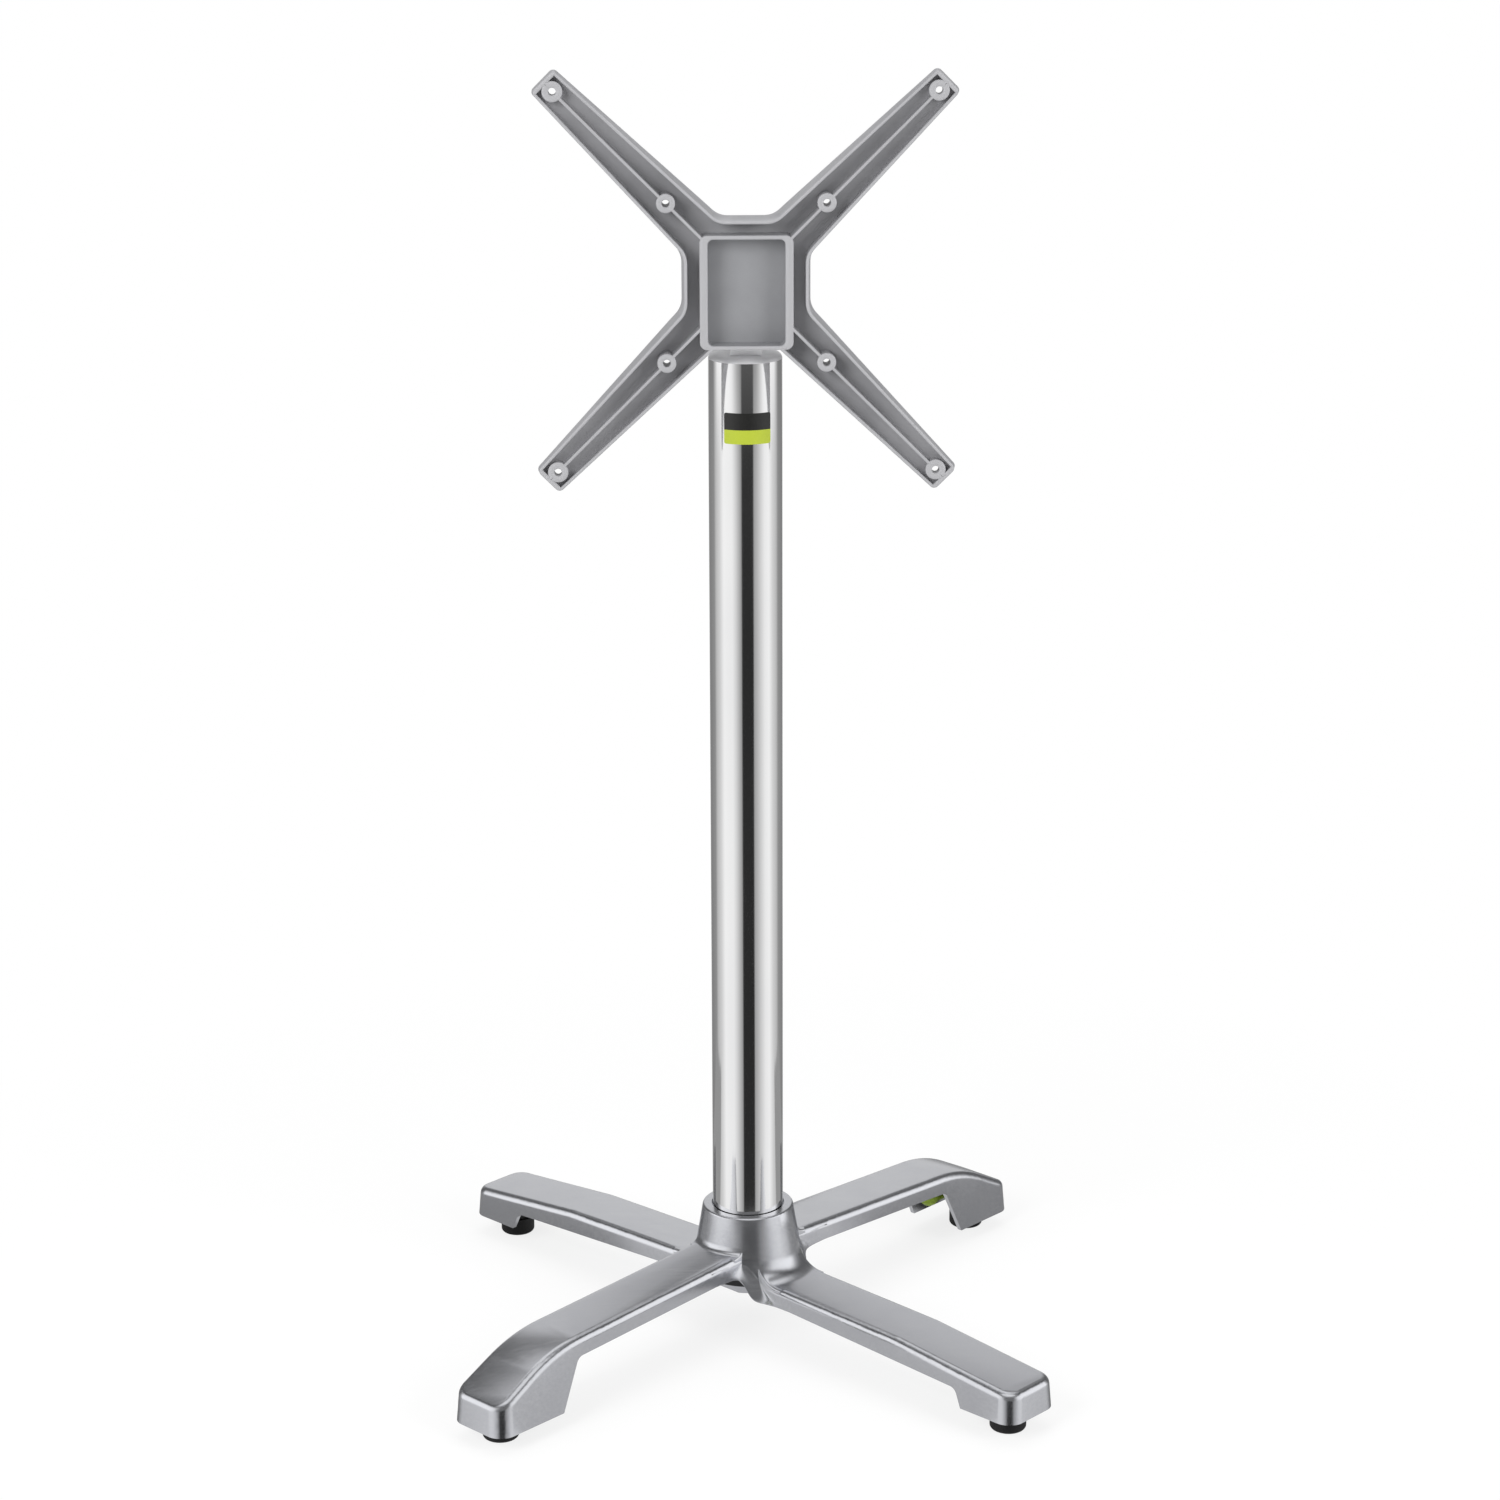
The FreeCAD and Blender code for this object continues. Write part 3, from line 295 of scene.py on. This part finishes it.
def label_film():
    """Printed film: black above the split height and lime below it."""
    material, tree, shader = new_material("label_film")
    point = object_point(tree)
    upper = span(tree, coordinates(tree, point)["Z"], 0, 1, LABEL_SPLIT - 0.0001, LABEL_SPLIT + 0.0001)
    cloud = noise(tree, point, 90, 3.0)
    black = blend(tree, cloud, (0.009, 0.009, 0.0085), (0.016, 0.016, 0.015))
    lime = blend(tree, cloud, (0.355, 0.425, 0.026), (0.395, 0.465, 0.034))
    tree.links.new(blend(tree, upper, lime, black), shader.inputs["Base Color"])
    shader.inputs["Roughness"].default_value = 0.38
    bump(tree, shader, cloud, 0.1, 0.00005)
    return material


# By material slot; a plain finish has its dark and light tint, roughness, metallic share, grain and depth
materials = {
    "cast_aluminium": brushed_casting(),
    "polished_column": polished_metal(),
    "cast_head": plain("cast_head", (0.62, 0.62, 0.635), (0.72, 0.72, 0.735), 0.45, 0.35, 500, 0.0001),
    "cast_spider": spider_casting(),
    "steel": plain("plain_steel", (0.42, 0.43, 0.44), (0.52, 0.53, 0.54), 0.32, 1.0, 300, 0.0001),
    "bronze": plain("bronze", (0.42, 0.29, 0.13), (0.55, 0.40, 0.20), 0.35, 1.0, 300, 0.0001),
    "black_plastic": plain(
        "black_plastic", (0.012, 0.012, 0.013), (0.022, 0.022, 0.024), 0.45, 0.0, 600, 0.0002),
    "black_tube": plain("black_tube", (0.014, 0.014, 0.015), (0.024, 0.024, 0.025), 0.5, 0.0, 400, 0.0002),
    "lime_plastic": plain("lime_plastic", (0.19, 0.29, 0.008), (0.24, 0.35, 0.014), 0.40, 0.0, 300, 0.0002),
    "foot_rubber": plain("foot_rubber", (0.003, 0.003, 0.0035), (0.007, 0.007, 0.008), 0.7, 0.0, 500, 0.0002),
}

# Smooth copies of the CAD nodes, so that curved faces reflect without facets


def slope_crests(work, plane, width):
    """Give the flat faces in the plane y a sloped border, as the worn edge of a cast rim has.

    The faces are inset by the width, and their old outline sinks by 0.8 of it.
    """
    tops = [face for face in work.faces
            if face.normal.y < -0.99 and max(point.co.y for point in face.verts) < plane + 1e-5]
    border = bmesh.ops.inset_region(
        work, faces=tops, thickness=width, depth=0.0, use_boundary=True, use_even_offset=True)["faces"]
    kept = {point for face in tops for point in face.verts}
    rim = {point for face in border for point in face.verts} - kept
    bmesh.ops.translate(work, verts=list(rim), vec=(0, 0.8 * width, 0))


def smooth_copy(node, slot):
    """Copy of a CAD node with merged points and smooth faces, which stands for the node.

    Edges stay sharp where the faces turn by 28 degrees or more, and on the spider by 46, which keeps the sloped
    border of its crests smooth.
    """
    source = frame["nodes"][node]
    work = bmesh.new()
    work.from_mesh(source.data)
    bmesh.ops.remove_doubles(work, verts=work.verts, dist=1e-6)
    limit = math.radians(28.0)
    if node == "top_spider":
        limit = math.radians(46.0)
        slope_crests(work, SPIDER_FACE, CREST_WIDTH)
    for face in work.faces:
        face.smooth = True
    for edge in work.edges:
        edge.smooth = len(edge.link_faces) == 2 and edge.calc_face_angle(math.pi) < limit
    mesh = bpy.data.meshes.new(node + "_skin")
    work.to_mesh(mesh)
    work.free()
    mesh.materials.append(materials[slot])
    item = bpy.data.objects.new(node + "_skin", mesh)
    bpy.context.scene.collection.objects.link(item)
    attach(item, source["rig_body"])
    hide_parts(node)


for entry in frame["record"]["subparts"]:
    smooth_copy(entry["node"], entry["material_slot"])

# Surfaces from arrays


def surface(name, points, faces):
    """Object from an array of points and a list of face arrays."""
    mesh = bpy.data.meshes.new(name)
    mesh.from_pydata(points.tolist(), [], [face for part in faces for face in part.tolist()])
    mesh.update()
    item = bpy.data.objects.new(name, mesh)
    bpy.context.scene.collection.objects.link(item)
    return item


def grid_faces(rows, columns, first=0):
    """Four-cornered faces over a grid of points numbered by rows from first, as one array."""
    row, column = np.meshgrid(np.arange(rows - 1), np.arange(columns - 1), indexing="ij")
    corner = (first + row * columns + column).ravel()
    return np.stack([corner, corner + 1, corner + columns + 1, corner + columns], -1)


def shell_faces(rows, columns):
    """Faces of a thin shell: a front grid, a back grid numbered after it, and strips along the four sides."""
    back = rows * columns
    outline = np.concatenate([
        np.arange(columns),
        np.arange(1, rows) * columns + columns - 1,
        (rows - 1) * columns + np.arange(columns - 2, -1, -1),
        np.arange(rows - 2, 0, -1) * columns])
    after = np.roll(outline, -1)
    return [
        grid_faces(rows, columns),
        grid_faces(rows, columns, back)[:, ::-1],
        np.stack([outline, outline + back, after + back, after], -1)]


# Blank label on the column


def label_patch(name, radius, thick, half_angle, centre_angle, low, high, corner, columns=41):
    """Thin patch that follows the column.

    The outline is a rounded rectangle in arc length s and height z, filled by rows: at height z the patch
    spans s = -w(z)..w(z), where w(z) = half width less the corner's circular inset. A point is
    (R sin a, -R cos a, z) with a = centre + s / radius, R = radius + thick for the front and radius for the
    back. Strips along the four sides close it.
    """
    half = half_angle * radius
    bend = corner * (1 - np.cos(np.linspace(0, math.pi / 2, 7)))
    middle = np.linspace(low + corner, high - corner, 12)[1:-1]
    heights = np.concatenate([low + bend, middle, high - bend[::-1]])
    inset = np.clip(np.maximum(low + corner - heights, heights - high + corner), 0, corner)
    width = half - corner + np.sqrt(corner * corner - inset * inset)
    angle = centre_angle + width[:, None] * np.linspace(-1, 1, columns)[None, :] / radius
    z = np.broadcast_to(heights[:, None], angle.shape)
    points = np.concatenate([
        np.stack([reach * np.sin(angle), -reach * np.cos(angle), z], -1).reshape(-1, 3)
        for reach in (radius + thick, radius)])
    return surface(name, points, shell_faces(len(heights), columns))


label = label_patch(
    "column_label", LABEL_SEAT, thick=0.00025, half_angle=math.radians(38.2), centre_angle=math.radians(2.2),
    low=LABEL_LOW, high=LABEL_HIGH, corner=0.002)
label.data.materials.append(label_film())
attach(label, "base")

# Rounded webs between the legs at the hub


def s_curve(value, middle, width):
    """Rise from 0 to 1 about the middle: 1 / (1 + exp(-(value - middle) / width))."""
    return 1 / (1 + np.exp(-(value - middle) / width))


def hub_web(name, gap, side, rows=41, columns=61):
    """Closed shell, 2.4 mm thick, that rounds the inner corner between two legs.

    Across, the angle t runs from -25 to 25 degrees about the middle of the gap, from the raised leg to the low
    one; up, the height z runs from the lower edge to the upper one. The radius is a soft maximum,
    k ln(sum of exp(r / k)), of three radii r in mm: the hub's cone, 45 + 0.17 (132 - z), and the two flanks,
    w / sin(45 - t) and w / sin(45 + t) with w = 36.6 - 0.0612 z. The softness k is 5 mm low down at the raised
    leg and 9 mm at the low one, and fades upwards and to the sides, where the shell dips 0.8 mm under the
    casting. The lower edge is an S from 75 mm down to 50 mm, and the upper one from 90 mm down to 63 mm.
    """
    across = np.linspace(-1, 1, columns)[None, :]
    up = np.linspace(0, 1, rows)[:, None]
    degrees = 25 * across
    turn = np.radians(degrees)
    towards_low = s_curve(degrees, -3, 3.2)
    low = 75.0 - 25.0 * towards_low
    high = 90.0 - 27.0 * s_curve(degrees, 8, 4.0)
    z = low + (high - low) * up

    flank = FLANK_HALF_WIDTH - FLANK_LEAN * z
    walls = np.stack([
        CONE_TOP_RADIUS + CONE_FLARE * (CONE_TOP - z),
        flank / np.sin(math.pi / 4 - turn),
        flank / np.sin(math.pi / 4 + turn)])
    from_side = 1 - np.abs(across)
    fade = (1 - up) ** 2 * (1 + 2 * up) * np.clip(3 * from_side, 0, 1)
    soft = 0.3 + (5.0 + 4.0 * towards_low) * fade
    typical = 60        # taken off before exp and put back after ln, so that the powers stay small
    radius = soft * np.log(np.exp((walls - typical) / soft).sum(0)) + typical
    radius += 0.1 - 0.9 * np.clip(1 - 5 * from_side, 0, 1) - 0.9 * np.clip(1 - 4 * (1 - up), 0, 1) ** 2

    angle = math.radians(gap) + side * turn
    points = np.concatenate([
        np.stack([reach * np.cos(angle), reach * np.sin(angle), z], -1).reshape(-1, 3) / 1000
        for reach in (radius, radius - 2.4)])
    faces = shell_faces(rows, columns)
    if side < 0:
        faces = [part[:, ::-1] for part in faces]
    item = surface(name, points, faces)
    smooth = np.arange(len(item.data.polygons)) < 2 * (rows - 1) * (columns - 1)
    item.data.polygons.foreach_set("use_smooth", smooth)
    item.data.materials.append(materials["cast_aluminium"])
    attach(item, "base")


# The gap's middle in degrees, and 1 where the low leg follows the raised one counter-clockwise
for gap, side in ((270, 1), (0, -1), (90, 1), (180, -1)):
    hub_web("hub_web_" + str(gap), gap, side)

# Stage: pale floor and white background


def floor_material():
    """Pale floor that the camera sees as white, with a soft shadow near the object.

    The share of white is 0.8 within 0.4 m of the column and whole from 1.1 m.
    """
    material, tree, output = bare_material("pale_floor")
    point = object_point(tree)
    shader = tree.nodes.new("ShaderNodeBsdfPrincipled")
    grain = noise(tree, point, 40, 3.0)
    tree.links.new(blend(tree, grain, (0.92, 0.92, 0.92), (0.95, 0.95, 0.95)), shader.inputs["Base Color"])
    shader.inputs["Roughness"].default_value = 0.85
    shader.inputs["Specular IOR Level"].default_value = 0.1
    white = tree.nodes.new("ShaderNodeEmission")
    reach = tree.nodes.new("ShaderNodeVectorMath")
    reach.operation = "LENGTH"
    tree.links.new(point, reach.inputs[0])
    share = span(tree, reach.outputs["Value"], 0.80, 1.0, 0.40, 1.10)
    choose_shader(tree, arithmetic(tree, "MULTIPLY", share, seen_ray(tree)),
                  shader.outputs["BSDF"], white.outputs["Emission"], output)
    return material


floor_corners = np.array([(-12, -12, 0), (12, -12, 0), (12, 12, 0), (-12, 12, 0)], float)
floor = surface("floor", floor_corners, [np.array([[0, 1, 2, 3]])])
floor.data.materials.append(floor_material())
floor.visible_glossy = False


def white_background(tree, strength):
    node = tree.nodes.new("ShaderNodeBackground")
    node.inputs["Color"].default_value = (1, 1, 1, 1)
    node.inputs["Strength"].default_value = strength
    return node.outputs["Background"]


world = bpy.data.worlds.new("studio")
bpy.context.scene.world = world
world.use_nodes = True
sky = world.node_tree
sky.nodes.clear()
choose_shader(sky, seen_ray(sky), white_background(sky, 0.55), white_background(sky, 1.0),
              sky.nodes.new("ShaderNodeOutputWorld"))

# Soft lamps


def lamp(name, place, target, size, power):
    """Square lamp of a size in metres and a power in watts, turned to its target; no mirror shows it."""
    data = bpy.data.lights.new(name, "AREA")
    data.shape = "SQUARE"
    data.size = size
    data.energy = power
    item = bpy.data.objects.new(name, data)
    item.location = place
    item.rotation_euler = (Vector(target) - Vector(place)).to_track_quat("-Z", "Y").to_euler()
    item.visible_glossy = False
    bpy.context.scene.collection.objects.link(item)


lamp("key", (-2.2, -2.6, 2.4), (0, 0, 0.6), 1.6, 85)
lamp("fill", (2.6, -2.4, 2.0), (0, 0, 0.5), 1.6, 60)
lamp("top", (0, 0.6, 3.6), (0, 0, 0), 2.4, 25)

# Panels that only mirror-like surfaces see: compass angle in degrees from the front, to the right, and level

BELOW_EYE = (
    (-180, 0.30), (-150, 0.22), (-119, 0.28), (-110, 0.50), (-92, 0.66), (-76, 0.92), (-45, 0.88),
    (-33, 0.68), (-20, 0.40), (-15.5, 0.30), (-13.5, 0.025), (21.5, 0.025), (24, 0.36), (35, 0.50),
    (47, 0.68), (60, 0.86), (76, 0.92), (92, 0.66), (110, 0.50), (119, 0.28), (150, 0.22), (180, 0.30))
AT_EYE = (
    (-180, 0.76), (-164, 0.72), (-152, 0.18), (-122, 0.12), (-110, 0.50), (-99, 1.35), (-54, 1.10),
    (-44, 0.85), (-34, 0.40), (-27, 0.20), (32, 0.20), (41, 0.45), (54, 1.10), (99, 1.35), (110, 0.50),
    (122, 0.12), (152, 0.18), (164, 0.72), (180, 0.76))
CEILING_SIDES = (
    (-129, 1.0), (-114, 0.28), (-82, 0.28), (-62, 1.0), (62, 1.0), (82, 0.28), (114, 0.28), (129, 1.0))
CEILING = ((30, 0.16), (45, 0.17), (51, 0.50), (57, 1.10), (80, 1.00))      # by elevation in degrees
EYE_FROM, EYE_TO = -8, -3                                                   # elevations between the rings
CEILING_FROM, CEILING_TO = 32, 40


def height_share(elevation):
    """Place of an elevation in degrees between the dome's lowest and highest point."""
    return 0.5 + 0.5 * math.sin(math.radians(elevation))


def compass_ramp(tree, share, stops):
    """Grey level by compass angle; share runs from 0 to 1 once round from the back."""
    return grey_ramp(tree, share, [((angle + 180) / 360, level) for angle, level in stops])


def studio_dome(reach, centre, rows=25, columns=65):
    """Round studio of pale and dark panels, seen only in mirror-like reflections.

    A sphere of radius reach about the point (0, 0, centre). Its glow depends on the compass angle, with a dark
    gap towards the front between two bright panels and a grey back, and on the height: one ring of panels below
    eye level, one at eye level, a dark ceiling above them, darker at the sides, and a pale patch overhead.
    """
    lift = np.linspace(-math.pi / 2, math.pi / 2, rows)[:, None]
    turn = np.linspace(0, 2 * math.pi, columns)[None, :]
    points = np.stack(np.broadcast_arrays(
        reach * np.cos(lift) * np.sin(turn),
        -reach * np.cos(lift) * np.cos(turn),
        centre + reach * np.sin(lift)), -1)
    item = surface("studio_dome", points.reshape(-1, 3), [grid_faces(rows, columns)[:, ::-1]])

    material, tree, glow = glow_material("studio_panels")
    axes = coordinates(tree, object_point(tree))
    angle = arithmetic(tree, "ARCTAN2", axes["X"], arithmetic(tree, "MULTIPLY", axes["Y"], -1.0))
    share = span(tree, angle, 0, 1, -math.pi, math.pi)
    rise = span(tree, axes["Z"], 0, 1, centre - reach, centre + reach)
    to_eye = span(tree, rise, 0, 1, height_share(EYE_FROM), height_share(EYE_TO))
    to_ceiling = span(tree, rise, 0, 1, height_share(CEILING_FROM), height_share(CEILING_TO))
    rings = blend(tree, to_eye, compass_ramp(tree, share, BELOW_EYE), compass_ramp(tree, share, AT_EYE))
    ceiling = grey_ramp(tree, rise, [(height_share(elevation), level) for elevation, level in CEILING])
    overhead = arithmetic(tree, "MULTIPLY", ceiling, compass_ramp(tree, share, CEILING_SIDES))
    tree.links.new(blend(tree, to_ceiling, rings, overhead), glow.inputs["Color"])
    item.data.materials.append(material)
    return item


def floor_card(name, corners, height, level):
    """Flat card just over the floor: in reflections the floor under and behind the base is in half shade."""
    points = np.column_stack([corners, np.full(len(corners), height)])
    item = surface(name, points, [np.arange(len(corners))[None, :]])
    material, _, glow = glow_material(name)
    glow.inputs["Color"].default_value = (level, level, level, 1)
    item.data.materials.append(material)
    return item


around = np.linspace(0, 2 * math.pi, 64, endpoint=False)
disc = 0.33 * np.column_stack([np.cos(around), np.sin(around)])
behind_right = np.array([(0.22, 0.07), (0.75, 0.07), (0.75, 0.45), (0.22, 0.45)])
for panel in (
        studio_dome(8.0, 0.4),
        floor_card("card_middle", disc, 0.0004, 0.58),
        floor_card("card_right", behind_right, 0.0006, 0.30),
        floor_card("card_left", behind_right[::-1] * (-1, 1), 0.0006, 0.30)):
    panel.visible_camera = False
    panel.visible_diffuse = False
    panel.visible_shadow = False
    panel.visible_transmission = False
    panel.data.materials[0].cycles.emission_sampling = "NONE"

# Camera at the photograph's viewing angle, in metres and degrees

FOCAL_PIXELS, FRAME_PIXELS, SENSOR = 3683.1, 1500.0, 36.0
YAW, PITCH = math.radians(2.1663), math.radians(15.106)
DISTANCE, ASIDE, EYE_HEIGHT = 3.42655, 0.04253, 1.60338

camera_data = bpy.data.cameras.new("camera")
camera_data.sensor_width = SENSOR
camera_data.lens = SENSOR * FOCAL_PIXELS / FRAME_PIXELS
camera_data.shift_x = -0.0269
camera_data.shift_y = -0.05
camera = bpy.data.objects.new("camera", camera_data)
camera.location = (
    -DISTANCE * math.sin(YAW) + ASIDE * math.cos(YAW),
    -DISTANCE * math.cos(YAW) - ASIDE * math.sin(YAW),
    EYE_HEIGHT)
camera.rotation_euler = (math.pi / 2 - PITCH, 0.0, -YAW)
bpy.context.scene.collection.objects.link(camera)
bpy.context.scene.camera = camera
bpy.context.scene.view_settings.view_transform = "Standard"
